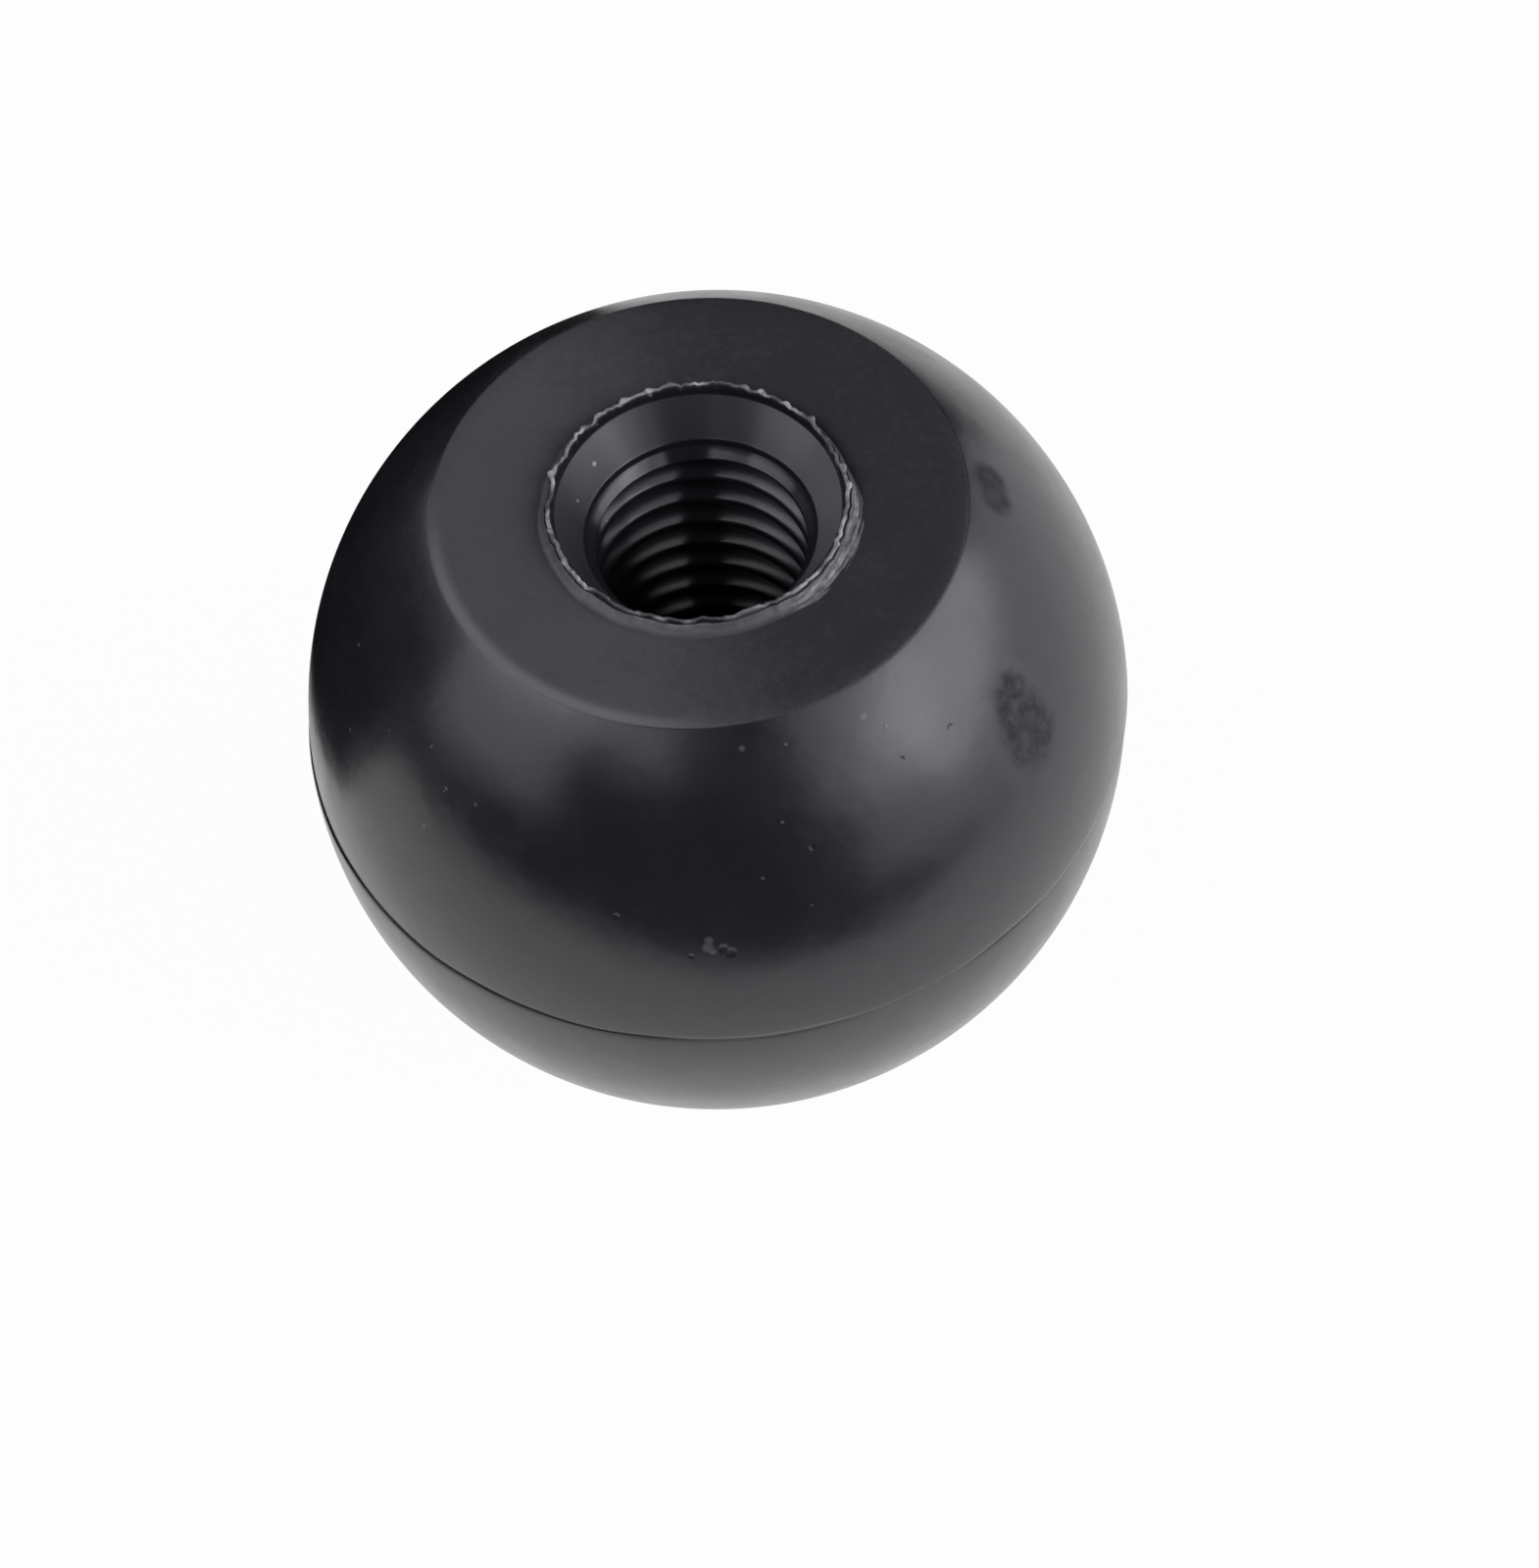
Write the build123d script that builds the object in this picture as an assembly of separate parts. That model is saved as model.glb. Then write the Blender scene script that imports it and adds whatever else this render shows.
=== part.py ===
# Ball knob for a machine lever: a black thermoset ball with one flat face, moulded in one
# piece, with a blind threaded hole that opens in the middle of the flat.
#
# The ball's lowest point is the origin and +Z runs up the hole's axis, out of its mouth.
# All sizes are in millimetres.

from build123d import *

import os
from math import sqrt

# The ball and its flat face
ball_diameter = 40.0
face_diameter = 25.3
face_edge_radius = 0.4

# The witness line where the two halves of the mould met, a fine groove round the equator
parting_groove_width = 0.3
parting_groove_depth = 0.12

# The thread is M12 coarse. Its crests stand in from the nominal diameter by this share of
# the pitch, and the hole's wall is the circle that they touch.
thread_diameter = 12.0
thread_pitch = 1.75
crest_share_of_pitch = 1.0825

# The hole from its mouth inwards: a countersink wider than the thread, the straight wall
# under it, a lead-in at 45 degrees down to the crests, the threaded wall, and the chamfered
# end that the moulding pin leaves
mouth_wider_than_thread = 1.7
countersink_depth = 1.9
shoulder_wider_than_crests = 1.0
shoulder_length = 0.4
threaded_wall_length = 18.2
pin_end_chamfer = 1.0

# The burr that the moulding pin dragged up round the mouth: its height above the flat, the
# width of its top, and how far it slopes out over the flat
burr_height = 0.5
burr_top_width = 0.2
burr_reach = 0.9

# Sizes that follow from the ones above
ball_radius = ball_diameter / 2
face_radius = face_diameter / 2
face_height = ball_radius + sqrt(ball_radius**2 - face_radius**2)
thread_crest_radius = (thread_diameter - crest_share_of_pitch * thread_pitch) / 2
mouth_radius = (thread_diameter + mouth_wider_than_thread) / 2
shoulder_radius = thread_crest_radius + shoulder_wider_than_crests / 2

# Heights at which the hole changes form, from the burr's top down to its floor
burr_top = face_height + burr_height
countersink_foot = face_height - countersink_depth
shoulder_foot = countersink_foot - shoulder_length
wall_top = shoulder_foot - (shoulder_radius - thread_crest_radius)
wall_foot = wall_top - threaded_wall_length
hole_floor = wall_foot - pin_end_chamfer


def ball_with_flat():
    """The solid ball, cut off flat at the top, with the rim of the flat slightly rounded."""
    lowest_point = (0, 0)
    equator = (ball_radius, ball_radius)
    face_rim = (face_radius, face_height)
    with BuildPart() as ball:
        with BuildSketch(Plane.XZ) as half_outline:
            with BuildLine():
                ThreePointArc(lowest_point, equator, face_rim)
                Polyline(face_rim, (0, face_height), lowest_point)
            make_face()
            rim_corner = half_outline.vertices().sort_by(Axis.X)[-1]
            fillet(rim_corner, face_edge_radius)
        revolve(axis=Axis.Z)
    return ball.part


def parting_groove():
    """A ring of triangular section: cut from the ball, it leaves the witness line."""
    root_radius = ball_radius - parting_groove_depth
    # The ring's wide side stands as far outside the ball as its root lies inside, so the
    # section is twice the groove's width there and the groove's own width at the surface.
    outer_radius = ball_radius + parting_groove_depth
    with BuildPart() as ring:
        with BuildSketch(Plane.XZ):
            with BuildLine():
                Polyline(
                    (root_radius, ball_radius),
                    (outer_radius, ball_radius + parting_groove_width),
                    (outer_radius, ball_radius - parting_groove_width),
                    close=True,
                )
            make_face()
        revolve(axis=Axis.Z)
    return ring.part


def moulded_burr():
    """The burr as a ring on the flat: level on top, and sloping outwards to nothing."""
    with BuildPart() as ring:
        with BuildSketch(Plane.XZ):
            with BuildLine():
                Polyline(
                    (mouth_radius, face_height),
                    (mouth_radius, burr_top),
                    (mouth_radius + burr_top_width, burr_top),
                    (mouth_radius + burr_reach, face_height),
                    close=True,
                )
            make_face()
        revolve(axis=Axis.Z)
    return ring.part


def threaded_hole():
    """The hole's own volume: countersink, shoulder, lead-in, threaded wall and pin end."""
    with BuildPart() as hole:
        with BuildSketch(Plane.XZ):
            with BuildLine():
                Polyline(
                    (0, face_height),
                    (mouth_radius, face_height),
                    (shoulder_radius, countersink_foot),
                    (shoulder_radius, shoulder_foot),
                    (thread_crest_radius, wall_top),
                    (thread_crest_radius, wall_foot),
                    (thread_crest_radius - pin_end_chamfer, hole_floor),
                    (0, hole_floor),
                    close=True,
                )
            make_face()
        revolve(axis=Axis.Z)
    return hole.part


knob = ball_with_flat() - parting_groove() - threaded_hole() + moulded_burr()

os.makedirs("parts", exist_ok=True)
export_step(knob, "parts/ball_knob.step")
print(f"ball {ball_diameter:.1f} across, {face_height:.3f} high, flat {face_diameter:.1f}")
print(f"thread wall radius {thread_crest_radius:.3f} from {wall_foot:.4f} to {wall_top:.4f}")
print(f"hole {face_height - hole_floor:.2f} deep, burr {burr_top - face_height:.2f} high")
print(f"volume {knob.volume / 1000:.2f} cubic centimetres")
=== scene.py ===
from math import atan, atan2, cos, degrees, pi, radians, sin, sqrt

import bpy
import numpy as np
from mathutils import Matrix, Vector


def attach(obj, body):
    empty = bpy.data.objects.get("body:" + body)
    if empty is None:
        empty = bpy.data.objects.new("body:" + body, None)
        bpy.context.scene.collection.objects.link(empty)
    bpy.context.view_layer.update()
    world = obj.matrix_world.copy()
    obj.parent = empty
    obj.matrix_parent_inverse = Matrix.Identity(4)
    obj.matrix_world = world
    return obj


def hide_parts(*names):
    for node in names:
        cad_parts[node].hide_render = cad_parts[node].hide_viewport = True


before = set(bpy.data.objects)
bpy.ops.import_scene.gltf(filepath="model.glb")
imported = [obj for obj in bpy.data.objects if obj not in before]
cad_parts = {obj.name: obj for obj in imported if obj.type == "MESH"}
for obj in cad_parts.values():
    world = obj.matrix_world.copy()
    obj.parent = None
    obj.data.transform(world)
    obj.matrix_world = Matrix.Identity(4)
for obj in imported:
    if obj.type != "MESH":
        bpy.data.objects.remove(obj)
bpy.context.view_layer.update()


# The knob is one moulding of black phenolic: a ball with one flat face, and a blind hole
# whose thread the mould's core pin formed in the same plastic, with no metal bush. The two
# halves of the mould met round the ball's middle, a little out of line with each other.
MM = 0.001
ball_radius = 20.0 * MM
face_radius = 12.65 * MM
face_height = ball_radius + sqrt(ball_radius ** 2 - face_radius ** 2)
face_rim_radius = 0.5 * MM
worn_edge_width = 0.9 * MM
worn_edge_drop = 0.1 * MM
mould_shift = 0.11 * MM
parting_line_depth = 0.05 * MM
parting_line_degrees = 0.4

# The parting line wanders up and down a little. It fades near the front, to the right, and
# is deeper just beyond that. Angles are in degrees clockwise from the far side.
line_sway, line_sway_degrees = 0.06 * MM, 2.0
line_faint_middle, line_faint_half_width = 156.0, 13.0
line_deep_middle, line_deep_half_width = 139.0, 7.0

# The mouth's torn rim is a mesh of its own, so here the face stops short of the hole, and
# slopes down behind the rim to join the countersink. The countersink is a cone between two
# circles, each given as (radius, depth under the flat face).
face_inner_radius = 7.15 * MM
behind_rim_depth = 0.04 * MM
countersink_top = (6.85 * MM, 0.0)
countersink_foot = (5.6 * MM, 1.9 * MM)

# The outside and the hole have the same number of columns, so that they meet edge to edge.
# Columns run clockwise, seen from the mouth, from the near side and back to it.
ball_columns = 240
column_angle = (np.arange(ball_columns) / ball_columns - 0.5) * 2 * pi


def smooth_step(share):
    """Rises from 0 to 1 with level ends: three times the square less twice the cube."""
    share = np.clip(share, 0, 1)
    return share * share * (3 - 2 * share)


def ring_noise(angle, knots, seed):
    """Random values from -1 to 1 at even knots round a circle, joined by smooth steps."""
    values = np.random.default_rng(seed).uniform(-1, 1, knots)
    place = (angle / (2 * pi)) % 1.0 * knots
    knot = np.floor(place).astype(int)
    share = smooth_step(place - knot)
    return values[knot % knots] * (1 - share) + values[(knot + 1) % knots] * share


def near_turn(angle, middle, half_width):
    """1 near a middle angle and 0 from a half width away from it, both in degrees: a smooth
    step of 1.6 times the share of the half width that is left."""
    from_middle = (np.degrees(angle) - middle + 180) % 360 - 180
    return smooth_step(1.6 - 1.6 * np.abs(from_middle / half_width))


def countersink_radius(depth):
    """Radius of the countersink at a depth: a straight line from its top to its foot."""
    share = depth / countersink_foot[1]
    return countersink_top[0] + (countersink_foot[0] - countersink_top[0]) * share


def outside_section():
    """Radius and height of the knob's skin from the ball's lowest point to the mouth: a
    circle up to the flat's rim, which is a small arc, then the face's worn edge, which is
    a parabola, and then the level face."""
    edge_slope = atan(2 * worn_edge_drop / worn_edge_width)
    rim_height = face_height - worn_edge_drop - face_rim_radius * cos(edge_slope)
    rim_radius = sqrt((ball_radius - face_rim_radius) ** 2 - (rim_height - ball_radius) ** 2)
    rim_start = degrees(atan2(rim_height - ball_radius, rim_radius))
    worn_start = rim_radius + face_rim_radius * sin(edge_slope)
    worn = np.array([0.25, 0.5, 0.75, 1.0])
    by_line = np.array([1.0, 0.7, 0.45, 0.25, 0.05])
    near_line = 2 * parting_line_degrees * np.concatenate([-by_line, by_line[::-1]])
    up = np.radians(np.concatenate([
        np.linspace(-90, -2, 62), near_line, np.linspace(2, rim_start, 38),
    ]))
    rim = np.radians(np.linspace(rim_start, 90 - degrees(edge_slope), 8)[1:])
    face = np.linspace(worn_start - worn_edge_width, face_inner_radius, 7)[1:]
    radius = np.concatenate([
        ball_radius * np.cos(up), rim_radius + face_rim_radius * np.cos(rim),
        worn_start - worn_edge_width * worn, face,
    ])
    height = np.concatenate([
        ball_radius + ball_radius * np.sin(up),
        rim_height + face_rim_radius * np.sin(rim),
        face_height - worn_edge_drop * (1 - worn) ** 2,
        np.full(len(face), face_height),
    ])
    return radius, height


def outside_skin(angle):
    """Places of the outside, row by row. Rows under the parting line are moved sideways by
    the mould's shift. Rows beside it are drawn in by a bell curve of the line's width, more
    or less round the ball, and swayed up and down by ring noise under a wider bell."""
    radius, height = outside_section()
    above = np.degrees(np.arctan2(height - ball_radius, radius))
    line = parting_line_depth * np.exp(-((above / parting_line_degrees) ** 2))
    faint = near_turn(angle, line_faint_middle, line_faint_half_width)
    deep = near_turn(angle, line_deep_middle, line_deep_half_width)
    presence = (0.75 + 0.45 * ring_noise(angle, 37, 11)) * (1 - 0.85 * faint) + 0.6 * deep
    from_axis = radius[:, None] - line[:, None] * presence
    x = from_axis * np.sin(angle) - np.where(above < 0, mould_shift, 0)[:, None]
    y = from_axis * np.cos(angle)
    by_line = np.exp(-((above / line_sway_degrees) ** 2))
    sway = line_sway * ring_noise(angle, 41, 13) * by_line[:, None]
    return np.stack([x, y, height[:, None] + sway], axis=-1)


def level_skin(radius, depth, angle):
    """Places of level circles, each with its own radius and depth under the face."""
    ring = np.ones_like(angle)
    return np.stack([
        radius[:, None] * np.sin(angle),
        radius[:, None] * np.cos(angle),
        (face_height - depth)[:, None] * ring,
    ], axis=-1)


def skin_mesh(name, places, next_row):
    """Mesh of a grid of places whose last column meets its first. next_row gives the row
    that each row meets there. Places in the same step of the weld are merged, and triangles
    that this closes up are dropped. Also gives each point's place in the grid."""
    weld_step = 0.0001 * MM
    rows, columns = places.shape[:2]
    number = np.arange(rows * columns).reshape(rows, columns)
    beside = np.concatenate([number[:, 1:], number[next_row, :1]], axis=1)
    lower_left, lower_right = number[:-1], beside[:-1]
    upper_left, upper_right = number[1:], beside[1:]
    corners = np.concatenate([
        np.stack([lower_left, upper_right, lower_right], axis=-1).reshape(-1, 3),
        np.stack([lower_left, upper_left, upper_right], axis=-1).reshape(-1, 3),
    ])
    points = places.reshape(-1, 3)
    _, kept, merged = np.unique(np.round(points / weld_step).astype(np.int64), axis=0,
                                return_index=True, return_inverse=True)
    corners = merged.ravel()[corners]
    a, b, c = corners.T
    corners = corners[(a != b) & (b != c) & (c != a)]
    mesh = bpy.data.meshes.new(name)
    mesh.from_pydata(points[kept].tolist(), [], corners.tolist())
    mesh.shade_smooth()
    piece = bpy.data.objects.new(name, mesh)
    bpy.context.collection.objects.link(piece)
    return piece, kept


slope_radius = np.array([face_inner_radius - 0.02 * MM, countersink_radius(behind_rim_depth)])
slope_rows = level_skin(slope_radius, np.full(2, behind_rim_depth), column_angle)
knob_rows = np.concatenate([outside_skin(column_angle), slope_rows])
knob, _ = skin_mesh("knob", knob_rows, np.arange(len(knob_rows)))


# The plastic's finish: almost black with a trace of blue, half glossy where the mould was
# polished, and dull on the flat face, which was sanded after moulding. Its grain, dust and
# marks are node groups, because the hole and the torn rim wear some of them too.
def node_group(name, inputs, outputs):
    """A new shader node group with the named sockets, and its input and output nodes."""
    group = bpy.data.node_groups.new(name, "ShaderNodeTree")
    for socket_name, socket_type, value in inputs:
        socket = group.interface.new_socket(socket_name, in_out="INPUT", socket_type=socket_type)
        socket.default_value = value
    for socket_name, socket_type in outputs:
        group.interface.new_socket(socket_name, in_out="OUTPUT", socket_type=socket_type)
    return group, group.nodes.new("NodeGroupInput"), group.nodes.new("NodeGroupOutput")


def math_node(tree, operation, first, second=None, clamp=False):
    """A maths node whose two values may each be a number or another node's output."""
    node = tree.nodes.new("ShaderNodeMath")
    node.operation = operation
    node.use_clamp = clamp
    for socket, value in zip(node.inputs, (first, second)):
        if isinstance(value, bpy.types.NodeSocket):
            tree.links.new(value, socket)
        elif value is not None:
            socket.default_value = value
    return node.outputs[0]


def noise_node(tree, vector, scale, detail, roughness):
    """Three-dimensional noise from 0 to 1 over a vector, with a scale in cells a metre. The
    detail is how many finer octaves it has, and the roughness how strong they are."""
    node = tree.nodes.new("ShaderNodeTexNoise")
    node.inputs["Scale"].default_value = scale
    node.inputs["Detail"].default_value = detail
    node.inputs["Roughness"].default_value = roughness
    tree.links.new(vector, node.inputs["Vector"])
    return node.outputs["Fac"]


def range_node(tree, value, low, high, to_low=0.0, to_high=1.0):
    """Maps a value from one range onto another with a smooth step, held at both ends."""
    node = tree.nodes.new("ShaderNodeMapRange")
    node.interpolation_type = "SMOOTHSTEP"
    for socket, number in zip(node.inputs[1:5], (low, high, to_low, to_high)):
        socket.default_value = number
    tree.links.new(value, node.inputs["Value"])
    return node.outputs["Result"]


def mix_colours(tree, factor, first, second):
    """Blends two colours, each a number triple or another node's output, by a factor."""
    node = tree.nodes.new("ShaderNodeMix")
    node.data_type = "RGBA"
    tree.links.new(factor, node.inputs["Factor"])
    for socket, value in ((node.inputs["A"], first), (node.inputs["B"], second)):
        if isinstance(value, bpy.types.NodeSocket):
            tree.links.new(value, socket)
        else:
            socket.default_value = (*value, 1.0)
    return node.outputs["Result"]


def moulded_grain():
    """Group: three noises added up as a height in metres. One is the faint waviness of
    polished plastic, one its fine grain, and one a rough grain for sanded places. A fourth
    noise goes out by itself, for the mottling of colour and roughness."""
    waviness_height, fine_height, sanded_height = 0.03 * MM, 0.0016 * MM, 0.02 * MM
    group, given, result = node_group(
        "moulded_grain",
        [("Vector", "NodeSocketVector", (0, 0, 0)), ("Sanded", "NodeSocketFloat", 0.0)],
        [("Height", "NodeSocketFloat"), ("Mottle", "NodeSocketFloat")],
    )
    vector = given.outputs["Vector"]
    waviness = noise_node(group, vector, 420.0, 2.0, 0.5)
    fine = noise_node(group, vector, 2600.0, 2.0, 0.6)
    sanded = noise_node(group, vector, 3600.0, 3.0, 0.65)
    height = math_node(group, "MULTIPLY", waviness, waviness_height)
    height = math_node(group, "ADD", height, math_node(group, "MULTIPLY", fine, fine_height))
    rough = math_node(group, "MULTIPLY", sanded, given.outputs["Sanded"])
    height = math_node(group, "ADD", height, math_node(group, "MULTIPLY", rough, sanded_height))
    group.links.new(height, result.inputs["Height"])
    mottle = noise_node(group, vector, 330.0, 4.0, 0.6)
    group.links.new(mottle, result.inputs["Mottle"])
    return group


def dust_specks():
    """Group: round specks at the cells of a Voronoi texture. Only cells whose random
    colour lies above a limit carry one, so the specks are few and unevenly spread."""
    group, given, result = node_group(
        "dust_specks",
        [("Vector", "NodeSocketVector", (0, 0, 0)), ("Scale", "NodeSocketFloat", 700.0),
         ("Share", "NodeSocketFloat", 0.05), ("Size", "NodeSocketFloat", 0.12)],
        [("Specks", "NodeSocketFloat")],
    )
    cells = group.nodes.new("ShaderNodeTexVoronoi")
    group.links.new(given.outputs["Vector"], cells.inputs["Vector"])
    group.links.new(given.outputs["Scale"], cells.inputs["Scale"])
    split = group.nodes.new("ShaderNodeSeparateColor")
    group.links.new(cells.outputs["Color"], split.inputs["Color"])
    limit = math_node(group, "SUBTRACT", 1.0, given.outputs["Share"])
    chosen = math_node(group, "GREATER_THAN", split.outputs["Red"], limit)
    size = math_node(group, "MULTIPLY", given.outputs["Size"], split.outputs["Green"])
    inside = math_node(group, "LESS_THAN", cells.outputs["Distance"], size)
    group.links.new(math_node(group, "MULTIPLY", chosen, inside), result.inputs["Specks"])
    return group


def one_mark():
    """Group: a soft round spot, 1 at its centre and 0 from its radius outwards. It puts out
    the higher of the spot and the mask that comes in before it, so that spots chain up."""
    group, given, result = node_group(
        "one_mark",
        [("Vector", "NodeSocketVector", (0, 0, 0)), ("Centre", "NodeSocketVector", (0, 0, 0)),
         ("Radius", "NodeSocketFloat", 0.001), ("Before", "NodeSocketFloat", 0.0)],
        [("Mask", "NodeSocketFloat")],
    )
    away = group.nodes.new("ShaderNodeVectorMath")
    away.operation = "DISTANCE"
    group.links.new(given.outputs["Vector"], away.inputs[0])
    group.links.new(given.outputs["Centre"], away.inputs[1])
    share = math_node(group, "DIVIDE", away.outputs["Value"], given.outputs["Radius"])
    spot = range_node(group, share, 0.35, 1.0, 1.0, 0.0)
    highest = math_node(group, "MAXIMUM", spot, given.outputs["Before"])
    group.links.new(highest, result.inputs["Mask"])
    return group


def group_node(tree, group, **values):
    """Places a node group, with each named input set to a number or linked to a socket."""
    node = tree.nodes.new("ShaderNodeGroup")
    node.node_tree = group
    for name, value in values.items():
        socket = node.inputs[name]
        if isinstance(value, bpy.types.NodeSocket):
            tree.links.new(value, socket)
        else:
            socket.default_value = value
    return node


def new_material(name):
    """A new material with a Principled shader on its output, its node tree, the shader, and
    the Object coordinates."""
    material = bpy.data.materials.new(name)
    material.use_nodes = True
    tree = material.node_tree
    tree.nodes.clear()
    shader = tree.nodes.new("ShaderNodeBsdfPrincipled")
    output = tree.nodes.new("ShaderNodeOutputMaterial")
    tree.links.new(shader.outputs["BSDF"], output.inputs["Surface"])
    place = tree.nodes.new("ShaderNodeTexCoord").outputs["Object"]
    return material, tree, shader, place


def on_ball(turn, rise):
    """The place on the ball at a turn from the near side to the right, and at a rise above
    the parting line, both in degrees."""
    level = ball_radius * cos(radians(rise))
    return (level * sin(radians(turn)), -level * cos(radians(turn)),
            ball_radius + ball_radius * sin(radians(rise)))


def bump_shader(tree, shader, height):
    """Turns a height in metres into the shader's normal."""
    bump = tree.nodes.new("ShaderNodeBump")
    bump.inputs["Distance"].default_value = 1.0
    tree.links.new(height, bump.inputs["Height"])
    tree.links.new(bump.outputs["Normal"], shader.inputs["Normal"])


grain_group = moulded_grain()
dust_group = dust_specks()
mark_group = one_mark()

plastic_black = (0.0155, 0.0158, 0.0205)
sanded_black = (0.031, 0.032, 0.039)
face_painted_light = (0.098, 0.099, 0.109)
dust_grey = (0.2, 0.2, 0.2)
phenolic_ior = 1.6
polished_roughness = 0.27
sanded_roughness = 0.6

# The face is sanded from just below its worn edge upwards. It is painted paler towards a
# turn clockwise from the far side, from one distance that way to another: painted light, as
# if more light fell on that side. The worn edge is painted grey towards another such turn: a
# painted highlight where it faces the lamps.
sanded_from = face_height - worn_edge_drop - 0.07 * MM
sanded_over = 0.06 * MM
face_light_turn = -98.0
face_light_from, face_light_to = -4.0 * MM, 7.0 * MM
edge_painted_highlight = (0.2, 0.2, 0.21)
edge_highlight_height = 0.07 * MM
edge_highlight_turn = -129.0
edge_highlight_from, edge_highlight_to = 7.5 * MM, 12.2 * MM

# Handling marks on the ball, as turn to the right from the front, rise, and radius in mm.
# Nicks are pits, pale specks are lint or scuffs, and dull patches are rubbed places, which
# fade out softly and are mottled.
nicks = [(-2.9, 18.1, 0.3), (-1.9, 17.4, 0.34), (-7.5, 17.0, 0.16), (31.5, 37.8, 0.14),
         (12.4, 31.4, 0.2), (-50.2, 30.6, 0.16), (-18.3, 22.6, 0.2), (42.1, 37.1, 0.22)]
pale_specks = [(-4.9, 19.6, 0.3), (-5.1, 18.5, 0.36), (-4.4, 17.8, 0.26), (3.6, 46.9, 0.2),
               (12.0, 46.2, 0.12), (31.5, 42.9, 0.13), (8.4, 35.9, 0.12), (3.9, 28.5, 0.12),
               (-55.9, 34.4, 0.12), (-44.0, 31.5, 0.12), (-73.4, 23.2, 0.12)]
dull_patches = [(54.2, 26.8, 3.4), (54.5, 29.6, 3.2), (55.2, 32.8, 2.4), (92.5, 45.8, 1.7),
                (89.0, 45.2, 1.6)]
nick_depth = 0.022 * MM
speck_height = 0.008 * MM
speck_paleness = 0.38
rubbed_roughness = 0.6

black_phenolic, tree, shader, place = new_material("black_phenolic")


def marks_mask(marks):
    """The highest of the soft spots of a list of marks, as a chain of mark groups."""
    mask = 0.0
    for turn, rise, radius in marks:
        mask = group_node(tree, mark_group, Vector=place, Centre=on_ball(turn, rise),
                          Radius=radius * MM, Before=mask).outputs["Mask"]
    return mask


def towards(turn):
    """How far a place lies towards a turn clockwise from the far side, in metres: the dot
    product of the place and the unit vector of that way."""
    node = tree.nodes.new("ShaderNodeVectorMath")
    node.operation = "DOT_PRODUCT"
    tree.links.new(place, node.inputs[0])
    node.inputs[1].default_value = (sin(radians(turn)), cos(radians(turn)), 0)
    return node.outputs["Value"]


axes = tree.nodes.new("ShaderNodeSeparateXYZ")
tree.links.new(place, axes.inputs["Vector"])
sanded = range_node(tree, axes.outputs["Z"], sanded_from, sanded_from + sanded_over)
grain = group_node(tree, grain_group, Vector=place, Sanded=sanded)
nick_mask = marks_mask(nicks)
speck_mask = marks_mask(pale_specks)
rub_noise = range_node(tree, noise_node(tree, place, 1300.0, 4.0, 0.7), 0.3, 0.7, 0.55, 1.0)
rub_mask = math_node(tree, "POWER", marks_mask(dull_patches), 2.0)
rub_mask = math_node(tree, "MULTIPLY", rub_mask, rub_noise)
dust = group_node(tree, dust_group, Vector=place, Scale=900.0, Share=0.03, Size=0.16)
pale = math_node(tree, "MAXIMUM", dust.outputs["Specks"], speck_mask)
mottled = mix_colours(tree, grain.outputs["Mottle"], [0.85 * part for part in plastic_black],
                      [1.15 * part for part in plastic_black])
# Painted light: the face is painted paler towards one side, from one distance that way to another,
# with random unevenness
painted_light = range_node(tree, towards(face_light_turn), face_light_from, face_light_to)
uneven = range_node(tree, noise_node(tree, place, 260.0, 5.0, 0.65), 0.3, 0.7, -0.1, 0.1)
speckle = range_node(tree, noise_node(tree, place, 3200.0, 3.0, 0.7), 0.3, 0.7, -0.12, 0.12)
painted_light = math_node(tree, "ADD", painted_light, math_node(tree, "ADD", uneven, speckle), clamp=True)
face_colour = mix_colours(tree, painted_light, sanded_black, face_painted_light)
# Painted highlight: the worn edge is painted grey towards one turn, where it faces the lamps
worn = range_node(tree, axes.outputs["Z"], face_height - edge_highlight_height, face_height, 1.0, 0.0)
worn = math_node(tree, "MULTIPLY", worn,
                 range_node(tree, towards(edge_highlight_turn), edge_highlight_from, edge_highlight_to))
face_colour = mix_colours(tree, worn, face_colour, edge_painted_highlight)
colour = mix_colours(tree, sanded, mottled, face_colour)
whitened = math_node(tree, "MULTIPLY", pale, speck_paleness)
tree.links.new(mix_colours(tree, whitened, colour, dust_grey), shader.inputs["Base Color"])
roughness = range_node(tree, grain.outputs["Mottle"], 0.35, 0.65,
                       polished_roughness - 0.02, polished_roughness + 0.02)
to_sanded = math_node(tree, "MULTIPLY", sanded, sanded_roughness - polished_roughness)
roughness = math_node(tree, "ADD", roughness, to_sanded)
to_rubbed = math_node(tree, "MULTIPLY", rub_mask, rubbed_roughness)
tree.links.new(math_node(tree, "ADD", roughness, to_rubbed), shader.inputs["Roughness"])
shader.inputs["IOR"].default_value = phenolic_ior
height = math_node(tree, "SUBTRACT", grain.outputs["Height"],
                   math_node(tree, "MULTIPLY", nick_mask, nick_depth))
height = math_node(tree, "ADD", height, math_node(tree, "MULTIPLY", pale, speck_height))
bump_shader(tree, shader, height)
knob.data.materials.append(black_phenolic)
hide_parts("ball_knob")
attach(knob, "root")


# The hole is the print of the mould's core pin in the same moulding: a countersink, a short
# shoulder and a chamfer, the M12 coarse thread, and a chamfered end. It is a skin of its own
# that meets the knob's at the countersink's top. Depths are under the flat face.
shoulder_foot = (5.55 * MM, 2.3 * MM)
thread_pitch = 1.75 * MM
thread_crest_radius = 5.05 * MM
thread_wall_top = 2.8 * MM
thread_wall_foot = 21.0 * MM
hole_depth = 22.0 * MM
pin_end_chamfer = 1.0 * MM

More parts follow.
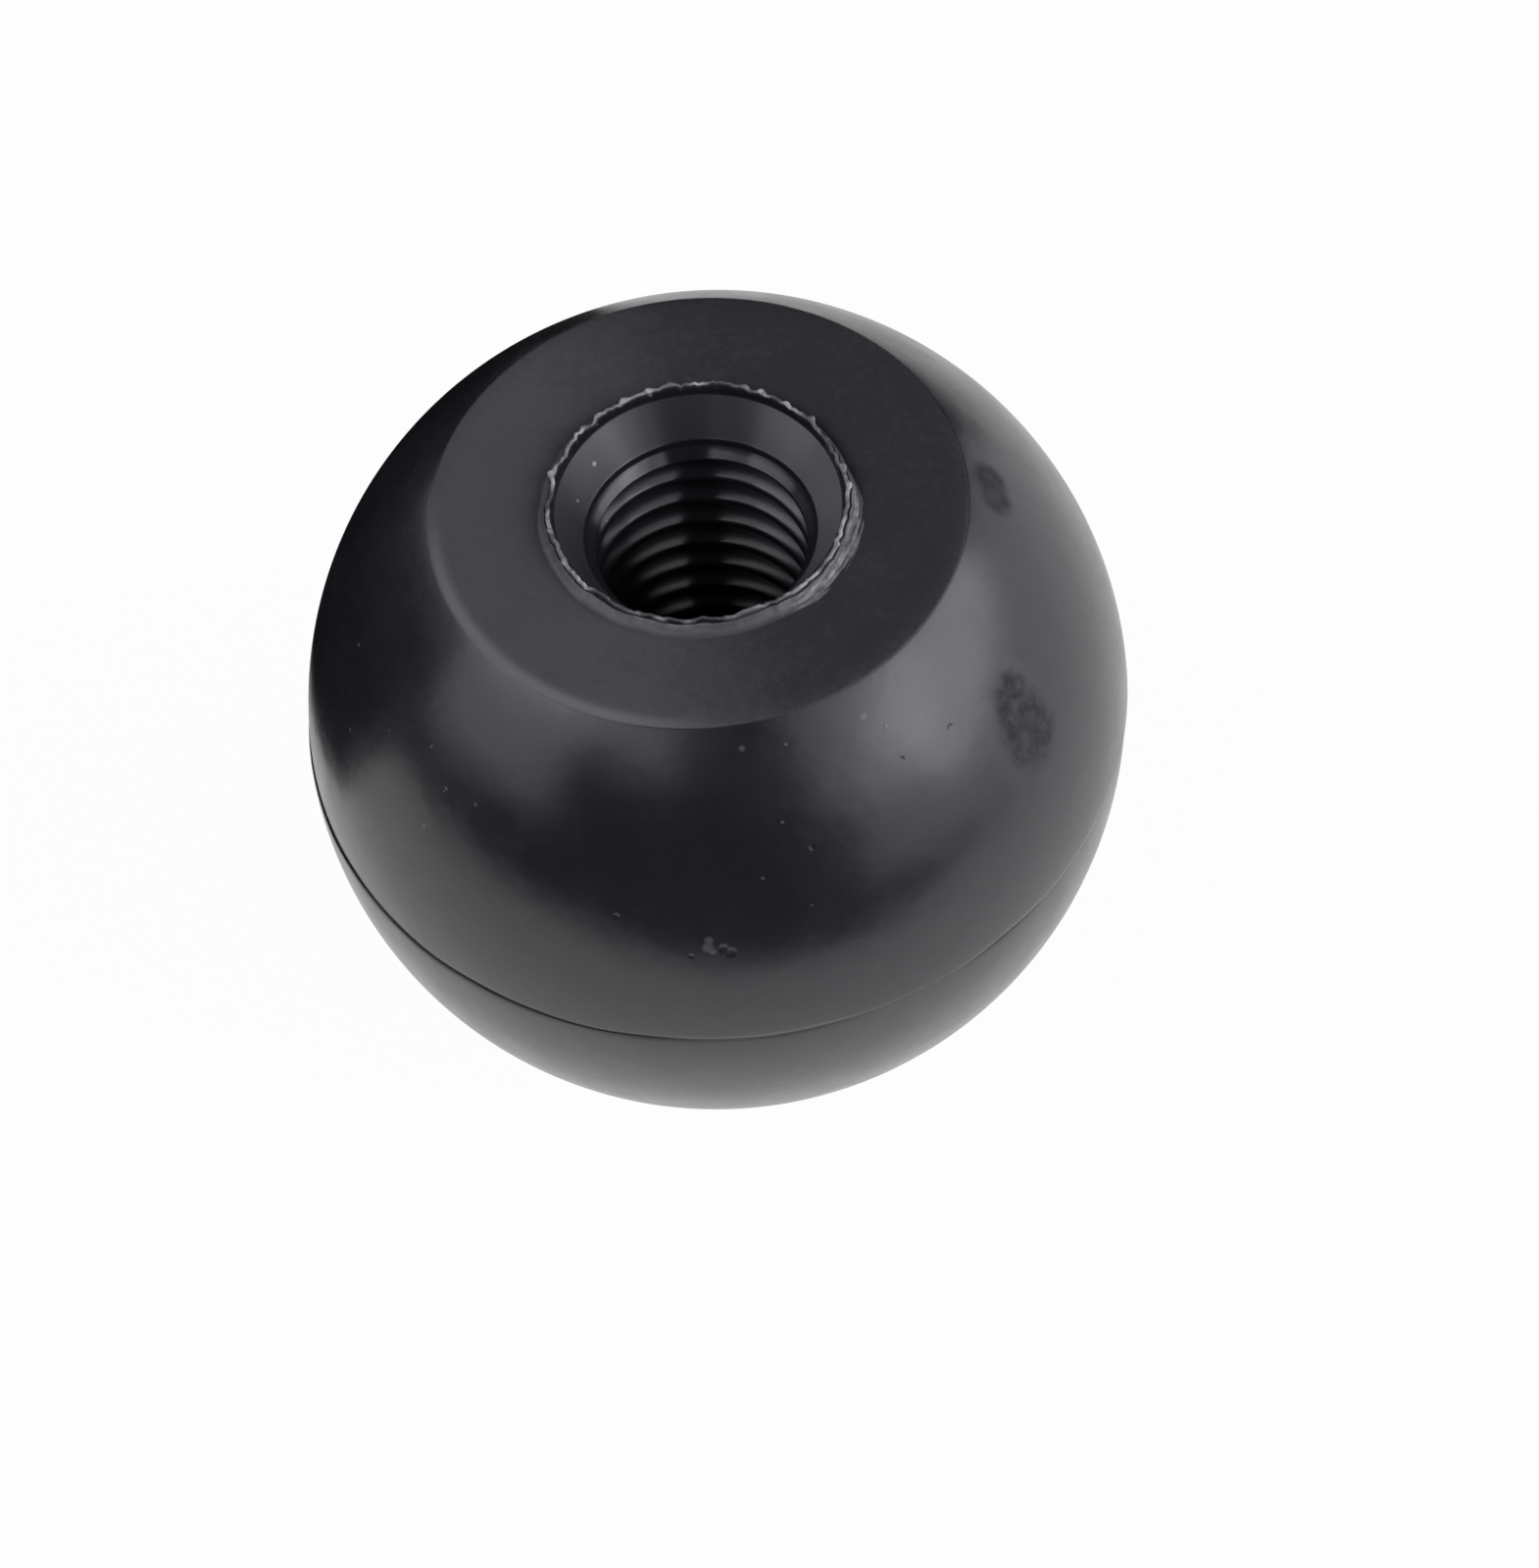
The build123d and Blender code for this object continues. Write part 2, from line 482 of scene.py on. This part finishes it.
# The thread's section: round crests, a shoulder beside each that steepens from one slope
# to another, and steep flanks. Slopes are rises for each unit along. Crest 0 is the first
# whole one on the far side. The grooves to either side of it lie half a turn away from it,
# and the first groove starts more than a turn before it.
crest_round = 0.32 * MM
shoulder_slope = (1.2, 1.7)
shoulder_width = 0.23 * MM
flank_slope = 2.15
groove_depth = 0.541 * thread_pitch
first_crest_depth = 4.4 * MM
groove_start_turn = -1.15
groove_fade_turns = 0.2
groove_top_fade = 0.3 * MM
groove_end_fade = 1.2 * MM

# The rows of one turn stand at shares of the pitch from its crest, most of them on its arc
arc_rows = crest_round * np.sin(np.radians([14, 27, 39, 49])) / thread_pitch
shoulder_rows = arc_rows[-1] + np.array([0.3, 0.65, 1.0, 1.2]) * shoulder_width / thread_pitch
side_rows = np.concatenate([arc_rows, shoulder_rows, [0.36, 0.41]])
turn_rows = np.concatenate([-side_rows[::-1], [0], side_rows, [0.5]])


def mouth_skin(angle):
    """Places of the hole's top: the countersink's cone, and the core pin's shoulder and
    chamfer with their edges a little rounded."""
    edge = 0.03 * MM
    cone_depth = np.linspace(behind_rim_depth, countersink_foot[1] - 2 * edge, 6)
    chamfer = shoulder_foot[0] - thread_crest_radius - edge
    radius = np.concatenate([
        countersink_radius(cone_depth),
        [countersink_foot[0], shoulder_foot[0] + edge / 2, shoulder_foot[0], shoulder_foot[0],
         shoulder_foot[0] - edge, shoulder_foot[0] - chamfer / 2, shoulder_foot[0] - chamfer],
    ])
    depth = np.concatenate([
        cone_depth,
        [countersink_foot[1], countersink_foot[1] + edge, countersink_foot[1] + 3 * edge,
         shoulder_foot[1] - edge, shoulder_foot[1] + edge, shoulder_foot[1] + chamfer / 2,
         shoulder_foot[1] + chamfer],
    ])
    return level_skin(radius, depth, angle)


def groove(from_crest):
    """Depth of the groove at a distance from the crest's middle: an arc over the crest, a
    parabola from where the arc is as steep as the parabola's start, and a straight flank."""
    arc_end = crest_round * sin(atan(shoulder_slope[0]))
    on_arc = crest_round - np.sqrt(crest_round ** 2 - np.minimum(from_crest, arc_end) ** 2)
    along = np.clip(from_crest - arc_end, 0, shoulder_width)
    steepening = (shoulder_slope[1] - shoulder_slope[0]) / (2 * shoulder_width)
    on_shoulder = along * shoulder_slope[0] + along ** 2 * steepening
    on_flank = np.maximum(from_crest - arc_end - shoulder_width, 0) * flank_slope
    return np.minimum(on_arc + on_shoulder + on_flank, groove_depth)


def thread_skin(angle):
    """Places of the threaded wall. Each row runs down along the helix by one pitch a turn,
    and is held between the chamfer's foot and the wall's foot. The groove's depth is added
    to the circle of the crests."""
    turn = angle / (2 * pi)
    top, foot = thread_wall_top, thread_wall_foot
    first = int(np.floor((top - first_crest_depth) / thread_pitch)) - 1
    last = int(np.ceil((foot - first_crest_depth) / thread_pitch)) + 2
    crest_rows = (np.arange(first, last)[:, None] + turn_rows).ravel()
    depth = np.clip(first_crest_depth + thread_pitch * (crest_rows[:, None] + turn), top, foot)
    from_crest = np.abs(np.tile(turn_rows, last - first)) * thread_pitch
    groove_rows = (np.arange(first, last)[:, None] + np.where(turn_rows < 0, -0.5, 0.5)).ravel()
    presence = smooth_step((groove_rows[:, None] + turn - groove_start_turn) / groove_fade_turns)
    presence = presence * smooth_step((foot - depth) / groove_end_fade)
    presence = presence * smooth_step((depth - top) / groove_top_fade)
    radius = thread_crest_radius + groove(from_crest)[:, None] * presence
    return np.stack([radius * np.sin(angle), radius * np.cos(angle), face_height - depth], axis=-1)


mouth_rows = mouth_skin(column_angle)
thread_rows = thread_skin(column_angle)
end_radius = np.array([thread_crest_radius, thread_crest_radius - pin_end_chamfer, 2 * MM, 0])
end_depth = np.array([thread_wall_foot, hole_depth, hole_depth, hole_depth])
end_rows = level_skin(end_radius, end_depth, column_angle)
hole_rows = np.concatenate([mouth_rows, thread_rows, end_rows])
row_number = np.arange(len(hole_rows))
last_thread_row = len(mouth_rows) + len(thread_rows) - 1
on_helix = (row_number >= len(mouth_rows)) & (row_number <= last_thread_row)
row_after_turn = np.minimum(row_number + len(turn_rows), last_thread_row)
hole, _ = skin_mesh("hole", hole_rows, np.where(on_helix, row_after_turn, row_number))

# The core pin was turned, and left its fine rings in the plastic of the hole. They spread
# reflections along the hole but hardly round it. The countersink is the duller part. It is
# painted paler than the thread, and paler still towards its right side: painted light on the
# cone.
countersink_roughness, thread_roughness = 0.34, 0.2
countersink_black = (0.038, 0.039, 0.046)
countersink_painted_light = (0.14, 0.142, 0.15)
countersink_light_from, countersink_light_to = 2.0 * MM, 6.0 * MM
turned_anisotropy = 0.85

# A white speck in the countersink, as its angle clockwise from the far side and its depth
speck_turn, speck_depth = -49.5, 1.0 * MM
speck_radius = 0.17 * MM
speck_white = (0.4, 0.4, 0.4)
speck_from_axis = countersink_radius(speck_depth)
speck_middle = (speck_from_axis * sin(radians(speck_turn)),
                speck_from_axis * cos(radians(speck_turn)), face_height - speck_depth)

turned_phenolic, tree, shader, place = new_material("turned_phenolic")
axes = tree.nodes.new("ShaderNodeSeparateXYZ")
tree.links.new(place, axes.inputs["Vector"])
foot_height, foot_blend = face_height - countersink_foot[1], 0.05 * MM
countersunk = range_node(tree, axes.outputs["Z"], foot_height - foot_blend,
                         foot_height + foot_blend)
dust = group_node(tree, dust_group, Vector=place, Scale=900.0, Share=0.01, Size=0.16)
white_speck = group_node(tree, mark_group, Vector=place, Centre=speck_middle, Radius=speck_radius)
pale = math_node(tree, "MULTIPLY", dust.outputs["Specks"], 0.5)
pale = math_node(tree, "MAXIMUM", pale, white_speck.outputs["Mask"])
# Painted light: the countersink's colour grows paler towards its right side
painted_light = range_node(tree, axes.outputs["X"], countersink_light_from, countersink_light_to)
cone_colour = mix_colours(tree, painted_light, countersink_black, countersink_painted_light)
hole_colour = mix_colours(tree, countersunk, plastic_black, cone_colour)
tree.links.new(mix_colours(tree, pale, hole_colour, speck_white), shader.inputs["Base Color"])
tree.links.new(range_node(tree, countersunk, 0.0, 1.0, thread_roughness, countersink_roughness),
               shader.inputs["Roughness"])
shader.inputs["IOR"].default_value = phenolic_ior
shader.inputs["Anisotropic"].default_value = turned_anisotropy
along_hole = tree.nodes.new("ShaderNodeCombineXYZ")
along_hole.inputs["Z"].default_value = 1.0
tree.links.new(along_hole.outputs["Vector"], shader.inputs["Tangent"])
hole.data.materials.append(turned_phenolic)
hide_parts("ball_knob")
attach(hole, "root")


# The torn rim is what the core pin dragged up as it was drawn out: a soft collar round the
# mouth with a thin ragged fin standing on it, broken off in places. On the right the fin is
# smeared outwards over the face. It is the same moulding as the ball, finely meshed.
rim_columns = 1200
fin_radius = 7.02 * MM
fin_height = 0.18 * MM
fin_wall_radius = countersink_top[0] + 0.01 * MM
torn_when_sanded, torn_when_broken = 0.15, 1.3

# The collar is widest at an angle clockwise from the far side, and least opposite that
collar_middle = -145.0
collar_reach = (7.34 * MM, 7.85 * MM)
collar_height = (0.36 * MM, 0.46 * MM)

# The collar's flank is painted paler round a middle angle and over a half width in degrees:
# painted light, on the side towards the lamps on the left
lit_flank_middle, lit_flank_half_width = -147.0, 55.0

# The smear's middle and half width in degrees clockwise from the far side, how far it
# reaches past the collar, and the share of the collar's height that it leaves
smear_middle, smear_half_width = 119.0, 44.0
smear_reach = 0.5 * MM
smear_height = 0.75

# Broken tips of the fin, as the angle clockwise from the far side and how far each is torn,
# and the half width of a tip. Each tip is also painted pale on the fin's top: a painted glint.
tip_degrees = 1.7
torn_glint_tips = [(-70.5, 0.3), (-45.0, 0.15), (-37.0, 0.1), (-25.3, 0.25), (-14.3, 0.2), (-6.0, 0.12),
             (24.0, 0.15), (30.3, 0.2), (42.0, 0.12), (54.4, 0.25), (66.0, 0.1), (81.1, 0.25),
             (89.6, 0.2), (117.8, 0.2), (158.0, 0.12), (-152.4, 0.12), (-128.9, 0.15),
             (-113.4, 0.2), (-97.0, 0.15)]


def torn_rim(angle):
    """Places of the rim's skin from its outer foot over collar and fin and down the hole, and
    how broken each is, with painted light added on top: 0 is smooth black, 0.15 sanded, and
    1.3 freshly broken or a painted highlight. The collar rises on its way in from a soft foot,
    the fin is a thin wall whose height and radius are sums of ring noises, each broken tip adds
    a narrow bell to both, and the smear's streaks are ring noises, a new one for each row. The
    fin's top is painted pale as a painted highlight, more so towards the far side and at the
    broken tips; the smear's streaks are paler, partly broken plastic and partly painted
    highlight; and the collar's flank is painted paler round a middle angle, as painted light."""
    smear = near_turn(angle, smear_middle, smear_half_width)
    whitened = near_turn(angle, lit_flank_middle, lit_flank_half_width)
    wide = 0.5 + 0.5 * np.cos(angle - radians(collar_middle))
    tips = np.zeros_like(angle)
    for middle, throw in torn_glint_tips:
        from_tip = (np.degrees(angle) - middle + 180) % 360 - 180
        tips = tips + throw * np.exp(-((from_tip / tip_degrees) ** 2))
    ragged = 0.6 * ring_noise(angle, 53, 3) + 0.4 * ring_noise(angle, 211, 4)
    sway = 0.6 * ring_noise(angle, 37, 5) + 0.4 * ring_noise(angle, 131, 6)
    lip = fin_radius + 0.12 * MM * sway
    # Painted highlight: the fin's top is painted pale, more so towards the far side, on the smear
    # and at the torn tips, where its edge catches the light
    ahead = 0.5 + 0.5 * np.cos(angle)
    fin_highlight = 0.22 + 0.36 * ahead + 0.6 * ring_noise(angle, 67, 12) + 0.4 * smear
    fin_highlight = np.clip(fin_highlight, 0.03, 1) + 2.2 * tips
    collar = collar_height[0] + (collar_height[1] - collar_height[0]) * wide
    collar = collar * (1 + 0.12 * ring_noise(angle, 19, 7)) * (1 - (1 - smear_height) * smear)
    reach = collar_reach[0] + (collar_reach[1] - collar_reach[0]) * wide
    reach = reach + 0.06 * MM * ring_noise(angle, 31, 8) + smear_reach * smear
    fin = collar + fin_height * (1 + 0.9 * ragged) * (1 - 0.4 * smear) + 0.15 * MM * tips
    valley = lip + 0.16 * MM
    rows = [
        (reach + 0.4 * MM, -0.3 * MM, torn_when_sanded),
        (reach + 0.3 * MM, -0.02 * MM, torn_when_sanded),
        (reach + 0.1 * MM, -0.01 * MM, torn_when_sanded),
    ]
    for row, share in enumerate((0.03, 0.12, 0.22, 0.32, 0.42, 0.52, 0.62, 0.72, 0.82, 0.92, 1.0)):
        radius = reach + (valley + 0.05 * MM - reach) * share
        streak = ring_noise(angle, 47, 20 + row)
        bumps = 0.05 * MM * smear * streak * sin(pi * share)
        # The smear's streaks are painted paler: partly broken plastic, partly painted highlight
        torn_and_lit = smear * sin(pi * share) ** 0.5 * (0.5 + 0.45 * streak)
        # Painted light: the collar's flank is painted paler round its middle angle, towards the
        # lamps on the left
        torn_and_lit = np.maximum(torn_and_lit, 0.35 * whitened * share ** 1.5 * (1 + 0.4 * streak))
        rows.append((radius, collar * share ** 2.3 + bumps, torn_when_sanded + torn_and_lit))
    rows += [
        (valley, 0.7 * collar, 0),
        (lip + 0.14 * MM + 0.2 * MM * tips, 0.6 * collar + 0.3 * fin, 0.3 * fin_highlight),
        (lip + 0.13 * MM + 0.6 * MM * tips, fin - 0.05 * MM, fin_highlight),
        (lip + 0.07 * MM + 0.8 * MM * tips, fin, torn_when_sanded + fin_highlight),
        (lip - 0.01 * MM + 0.6 * MM * tips, fin - 0.01 * MM, torn_when_sanded + fin_highlight),
        (lip - 0.05 * MM + 0.2 * MM * tips, fin - 0.05 * MM, fin_highlight),
        (lip - 0.05 * MM, fin - 0.08 * MM, 0.1),
        (0.5 * lip + 0.5 * fin_wall_radius - 0.03 * MM, 0.8 * fin - 0.09 * MM, 0),
        (fin_wall_radius, 0.5 * collar, 0),
        (fin_wall_radius, 0.02 * MM, 0),
        (countersink_top[0], 0, 0),
        (countersink_radius(0.02 * MM), -0.02 * MM, 0),
        (countersink_radius(0.05 * MM) + 0.001 * MM, -0.05 * MM, 0),
        (countersink_radius(0.08 * MM) + 0.03 * MM, -0.08 * MM, 0),
        (countersink_radius(0.3 * MM) + 0.2 * MM, -0.3 * MM, 0),
    ]
    ring = np.ones_like(angle)
    radius, rise, torn_and_lit = (np.array([ring * row[part] for row in rows]) for part in range(3))
    torn_and_lit = np.clip(torn_and_lit, 0, torn_when_broken)
    places = np.stack([radius * np.sin(angle), radius * np.cos(angle), face_height + rise], axis=-1)
    return places, torn_and_lit


rim_angle = (np.arange(rim_columns) / rim_columns - 0.5) * 2 * pi
rim_places, rim_torn_and_lit = torn_rim(rim_angle)
closed_places = np.concatenate([rim_places, rim_places[:1]])
closed_torn_and_lit = np.concatenate([rim_torn_and_lit, rim_torn_and_lit[:1]])
torn_edge, kept = skin_mesh("torn_rim", closed_places, np.arange(len(closed_places)))
torn_and_lit_attribute = torn_edge.data.attributes.new("torn_and_lit", "FLOAT", "POINT")
torn_and_lit_attribute.data.foreach_set("value", closed_torn_and_lit.ravel()[kept].astype(np.float32))

# Its finish goes by how torn it is: smooth and black, then sanded and dusty, then grey and
# rough where it is freshly broken. The same grey also paints the fin's highlights and the
# light on the collar's flank: painted highlight and painted light.
broken_and_highlight_grey = (0.58, 0.58, 0.59)
# The dusty black is paler than the sanded face, partly for dust and partly as painted light that
# lifts the shade on the collar's flank
dusty_and_lit_black = (0.08, 0.081, 0.09)
smooth_rim, rough_rim = 0.2, 0.5
torn_grain = 0.03 * MM

broken_phenolic, tree, shader, place = new_material("broken_phenolic")
attribute = tree.nodes.new("ShaderNodeAttribute")
attribute.attribute_name = "torn_and_lit"
torn_and_lit = attribute.outputs["Fac"]
sanded = range_node(tree, torn_and_lit, 0.0, torn_when_sanded)
grain = group_node(tree, grain_group, Vector=place, Sanded=sanded)
patchy = range_node(tree, noise_node(tree, place, 2400.0, 3.0, 0.6), 0.35, 0.65, 0.4, 1.0)
broken_and_lit = math_node(tree, "MULTIPLY", range_node(tree, torn_and_lit, torn_when_sanded, torn_when_broken),
                   patchy, clamp=True)
rim_colour = mix_colours(tree, sanded, plastic_black, dusty_and_lit_black)
tree.links.new(mix_colours(tree, broken_and_lit, rim_colour, broken_and_highlight_grey), shader.inputs["Base Color"])
tree.links.new(range_node(tree, torn_and_lit, 0.0, torn_when_sanded, smooth_rim, rough_rim),
               shader.inputs["Roughness"])
shader.inputs["IOR"].default_value = phenolic_ior
rough_height = math_node(tree, "MULTIPLY", noise_node(tree, place, 5200.0, 3.0, 0.6), torn_grain)
rough_height = math_node(tree, "MULTIPLY", rough_height, torn_and_lit)
bump_shader(tree, shader, math_node(tree, "ADD", grain.outputs["Height"], rough_height))
torn_edge.data.materials.append(broken_phenolic)
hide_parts("ball_knob")
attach(torn_edge, "root")


# The studio: a sheet of white paper under the knob, with nothing bright beyond it, and
# soft boxes to its left and right. What the camera sees past the paper is plain white.

# The paper's corners are in mm to the right of the knob and away from the viewer. It turns
# to plain white too, between two distances from its middle.
paper_corners = [(75, -58), (105, -20), (124, 40), (110, 110), (50, 150), (-20, 140), (-85, 98),
                 (-135, 20), (-172, -10), (-112, -66), (-68, -91), (0, -71)]
paper_middle = np.array([12 * MM, 40 * MM, 0])
fade_from, fade_to = 67 * MM, 112 * MM
paper_mesh = bpy.data.meshes.new("paper")
paper_mesh.from_pydata([(across * MM, away * MM, 0) for across, away in paper_corners], [],
                       [list(range(len(paper_corners)))])
paper = bpy.data.objects.new("paper", paper_mesh)
bpy.context.collection.objects.link(paper)
paper_white, tree, shader, place = new_material("paper_white")
shader.inputs["Base Color"].default_value = (0.9, 0.9, 0.9, 1.0)
shader.inputs["Roughness"].default_value = 0.8
shader.inputs["Specular IOR Level"].default_value = 0.1
glow = tree.nodes.new("ShaderNodeEmission")
rays = tree.nodes.new("ShaderNodeLightPath")
seen = math_node(tree, "MAXIMUM", rays.outputs["Is Camera Ray"], rays.outputs["Is Glossy Ray"])
seen = math_node(tree, "MAXIMUM", seen, rays.outputs["Is Transmission Ray"])
away = tree.nodes.new("ShaderNodeVectorMath")
away.operation = "DISTANCE"
tree.links.new(place, away.inputs[0])
away.inputs[1].default_value = paper_middle
to_edge = range_node(tree, away.outputs["Value"], fade_from, fade_to, 0.97, 1.0)
share = math_node(tree, "MULTIPLY", seen, to_edge)
blend = tree.nodes.new("ShaderNodeMixShader")
tree.links.new(share, blend.inputs["Fac"])
tree.links.new(shader.outputs["BSDF"], blend.inputs[1])
tree.links.new(glow.outputs["Emission"], blend.inputs[2])
tree.links.new(blend.outputs["Shader"], tree.get_output_node("ALL").inputs["Surface"])
paper.data.materials.append(paper_white)

# The camera sees the room as white, and everything else sees it at its own low level
room_level = 0.032
world = bpy.context.scene.world or bpy.data.worlds.new("studio")
bpy.context.scene.world = world
world.use_nodes = True
tree = world.node_tree
tree.nodes.clear()
background = tree.nodes.new("ShaderNodeBackground")
background.inputs["Color"].default_value = (1.0, 1.0, 1.0, 1.0)
rays = tree.nodes.new("ShaderNodeLightPath")
tree.links.new(math_node(tree, "MAXIMUM", rays.outputs["Is Camera Ray"], room_level),
               background.inputs["Strength"])
output = tree.nodes.new("ShaderNodeOutputWorld")
tree.links.new(background.outputs["Background"], output.inputs["Surface"])

# The soft boxes all face the middle of the ball from the same distance
ball_centre = Vector((0, 0, ball_radius))
lamp_distance = 0.6
lamp_colour = (0.98, 0.97, 1.04)


def soft_box(name, turn, rise, roll, left, right, low, high, radiance):
    """A rectangular area lamp in a plane that faces the ball from a turn clockwise from the
    far side and a rise above level, with its clockwise end raised by roll. Its edges lie
    left, right, low and high of the point straight opposite the ball, in distances from
    it. Its power is the radiance times pi times its area."""
    turn, rise, roll = radians(turn), radians(rise), radians(roll)
    away = Vector((sin(turn) * cos(rise), cos(turn) * cos(rise), sin(rise)))
    level = Vector((cos(turn), -sin(turn), 0))
    across = level * cos(roll) + level.cross(away) * sin(roll)
    upward = across.cross(away)
    middle = away + across * (left + right) / 2 + upward * (low + high) / 2
    light = bpy.data.lights.new(name, "AREA")
    light.shape = "RECTANGLE"
    light.size = (right - left) * lamp_distance
    light.size_y = (high - low) * lamp_distance
    light.energy = radiance * pi * light.size * light.size_y
    light.color = lamp_colour
    lamp = bpy.data.objects.new(name, light)
    facing = Matrix((-across, upward, away)).transposed().to_quaternion()
    lamp.matrix_world = Matrix.LocRotScale(ball_centre + middle * lamp_distance, facing, None)
    lamp.visible_camera = False
    bpy.context.collection.objects.link(lamp)


soft_box("right_wall", 123, -16, 10, -6.3, 0.53, 0.06, 1.38, 1.02)
soft_box("right_box", 106, 21, -16, -0.61, 0.37, -0.28, 0.31, 2.05)
soft_box("right_high", 140, 37, 14, -0.5, 0.21, -0.45, 0.42, 1.14)
soft_box("left_wall", -119, 17, -7, -0.85, 5.0, 0.31, 0.85, 1.36)
soft_box("left_box", -99, 26, -14, -0.5, 0.25, -0.35, 0.34, 1.22)

# A painted shadow: a black sheet on the paper to the ball's far left stands in for the ball's
# shadow there, and only the ball's own reflection shows it. Its corners are given as turn
# clockwise from the far side and distance in mm.
shadow_card_edges = [(-81, 44), (-66, 37), (-45, 32), (-8, 31), (-5, 125), (-40, 145), (-87, 150),
              (-85, 90)]
shadow_card_corners = [
    (reach * MM * sin(radians(turn)), reach * MM * cos(radians(turn)), 0.2 * MM)
    for turn, reach in shadow_card_edges
]
shadow_card_mesh = bpy.data.meshes.new("shadow_card")
shadow_card_mesh.from_pydata(shadow_card_corners, [], [list(range(len(shadow_card_corners)))[::-1]])
shadow_card = bpy.data.objects.new("shadow_card", shadow_card_mesh)
bpy.context.collection.objects.link(shadow_card)
painted_shadow_black, tree, shader, place = new_material("painted_shadow_black")
shader.inputs["Base Color"].default_value = (0.005, 0.005, 0.005, 1.0)
shader.inputs["Roughness"].default_value = 1.0
shader.inputs["Specular IOR Level"].default_value = 0.0
shadow_card_mesh.materials.append(painted_shadow_black)
shadow_card.visible_camera = False
shadow_card.visible_shadow = False
shadow_card.visible_diffuse = False


# The camera looks down on the knob as the photograph does. Its distance is chosen, because
# 15 to 30 ball radii fit the photograph about equally well. The pixel of the ball's middle,
# the knob's axis as right, up and towards the viewer, and the lens are fitted at that distance.
image_width, image_height = 1570, 1600
ball_middle_pixel = (732.68, 713.97)
axis_in_view = Vector((-0.05627, 0.57941, 0.8131)).normalized()
camera_distance = 20 * ball_radius
lens_mm, sensor_mm = 187.88, 36.0

# The sensor's width spans the frame's longer side, which is its height
pixels_per_focal = lens_mm / sensor_mm * image_height
to_ball = Vector((
    (ball_middle_pixel[0] - image_width / 2) / pixels_per_focal,
    -(ball_middle_pixel[1] - image_height / 2) / pixels_per_focal,
    -1.0,
)).normalized()
far_side = (to_ball - axis_in_view * to_ball.dot(axis_in_view)).normalized()
right_side = far_side.cross(axis_in_view)
camera_turn = Matrix((right_side, far_side, axis_in_view))
camera_data = bpy.data.cameras.new("camera")
camera_data.lens = lens_mm
camera_data.sensor_width = sensor_mm
camera_data.clip_start = 0.01
camera = bpy.data.objects.new("camera", camera_data)
camera.matrix_world = Matrix.LocRotScale(
    ball_centre - camera_turn @ to_ball * camera_distance, camera_turn.to_quaternion(), None)
bpy.context.collection.objects.link(camera)
bpy.context.scene.camera = camera

bpy.context.scene.view_settings.view_transform = "Standard"
